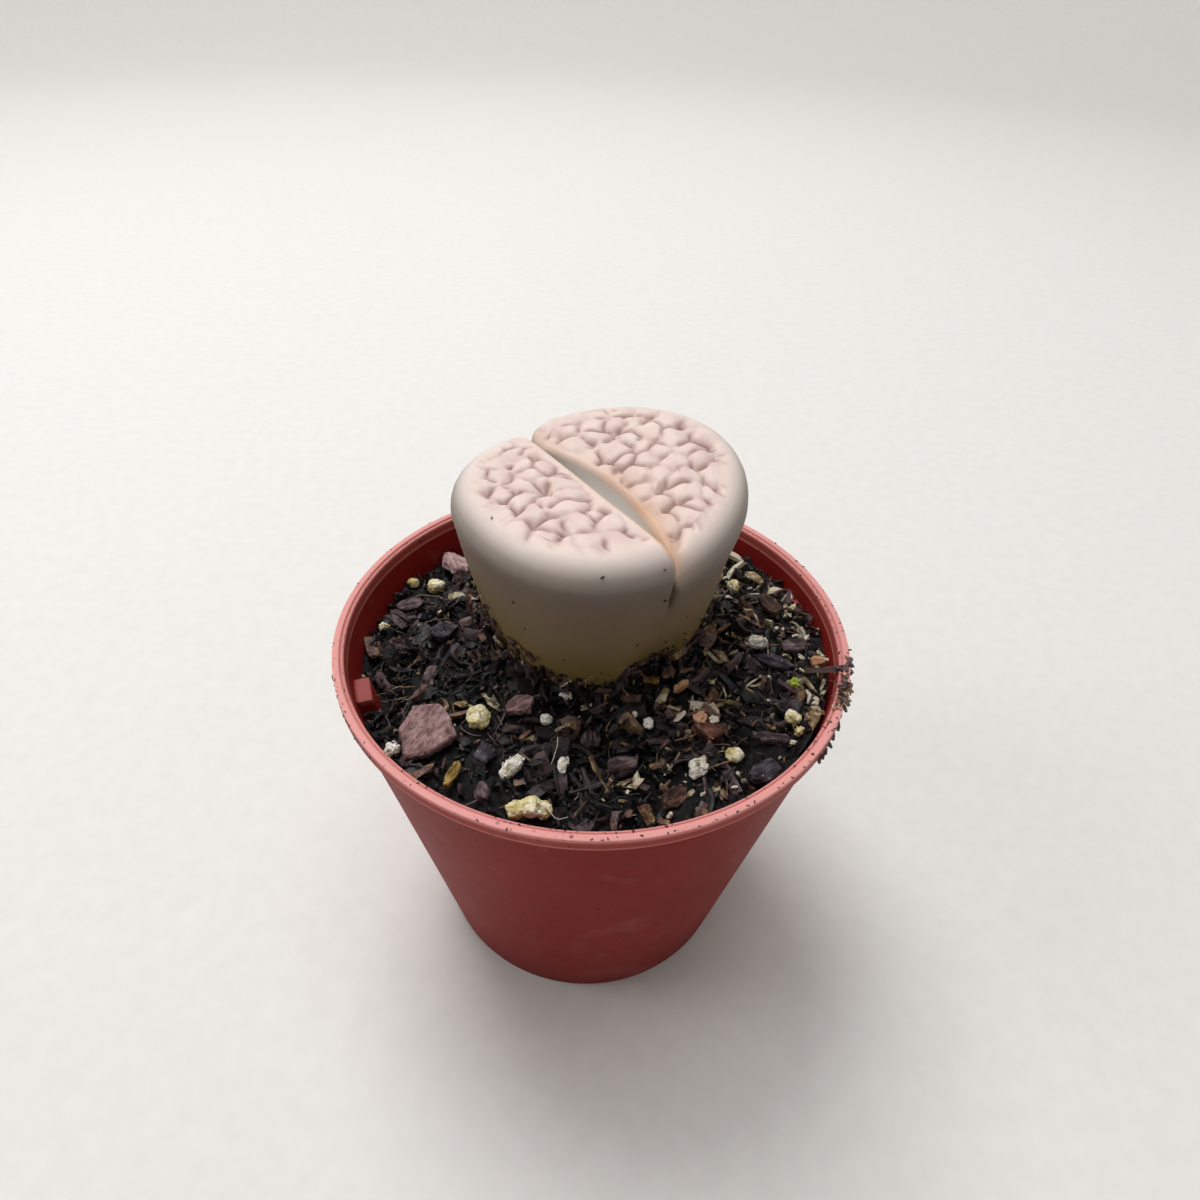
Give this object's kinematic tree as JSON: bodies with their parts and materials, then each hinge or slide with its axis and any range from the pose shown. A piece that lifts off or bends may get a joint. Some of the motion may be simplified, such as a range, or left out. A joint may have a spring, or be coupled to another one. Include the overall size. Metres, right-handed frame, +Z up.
{
  "type": "potted lithops",
  "caption": "Potted stone plant: a fused leaf pair split by a fissure, with a netted window on top, growing in bark and pumice soil in a small round nursery pot with a banded rim.",
  "frame": {"origin": "centre of the pot's foot, on the surface it stands on", "axes": "+Z up, +X to the right and +Y away from the viewer, with the fissure running from the back left to the front right"},
  "size_m": [0.055, 0.055, 0.0627],
  "materials": {
    "pot_plastic": "matt moulded polypropylene",
    "leaf_skin": "waxy succulent leaf skin",
    "potting_soil": "damp peat and fine bark",
    "bark_mauve": "rough bark",
    "bark_pink": "rough bark",
    "bark_dusky": "rough bark",
    "bark_slate_grey": "rough bark",
    "bark_brown": "rough bark",
    "bark_rust": "rough bark",
    "wood_tan": "rough wood",
    "wood_oak": "rough wood",
    "pumice": "rough mineral grain",
    "perlite": "rough mineral grain"
  },
  "bodies": {
    "root": {"pot": "pot_plastic", "lithops": "leaf_skin", "bark_plate": "bark_mauve", "bark_tilted": "bark_pink", "bark_wedge": "bark_mauve", "bark_bit": "bark_dusky", "bark_pebble": "bark_dusky", "bark_slab_right": "bark_dusky", "bark_slab_low": "bark_slate_grey", "bark_flake_front": "bark_brown", "bark_strip": "bark_dusky", "bark_slab_front": "bark_slate_grey", "bark_lump": "bark_rust", "bark_strip_left": "bark_dusky", "bark_lump_left": "bark_slate_grey", "bark_chip_left": "bark_dusky", "bark_slate": "bark_slate_grey", "bark_nub": "bark_dusky", "wood_strip": "wood_oak", "wood_splinter": "wood_tan", "wood_sliver": "wood_oak", "bark_splinter": "bark_rust", "bark_back_left": "bark_brown", "bark_back": "bark_dusky", "bark_back_right": "bark_brown", "bark_right": "bark_brown", "seed_disc": "wood_tan", "pumice_large": "pumice", "pumice_left": "pumice", "pumice_far_left": "pumice", "pumice_right": "pumice", "pumice_speckled": "pumice", "pumice_pale": "pumice", "pumice_hook": "pumice", "perlite_front": "perlite", "perlite_right": "perlite", "perlite_long": "perlite", "perlite_oval": "perlite", "perlite_small": "perlite", "perlite_middle": "perlite", "perlite_back": "perlite", "pumice_back_left": "pumice", "pumice_clump": "pumice", "soil": "potting_soil"}
  },
  "joints": []
}
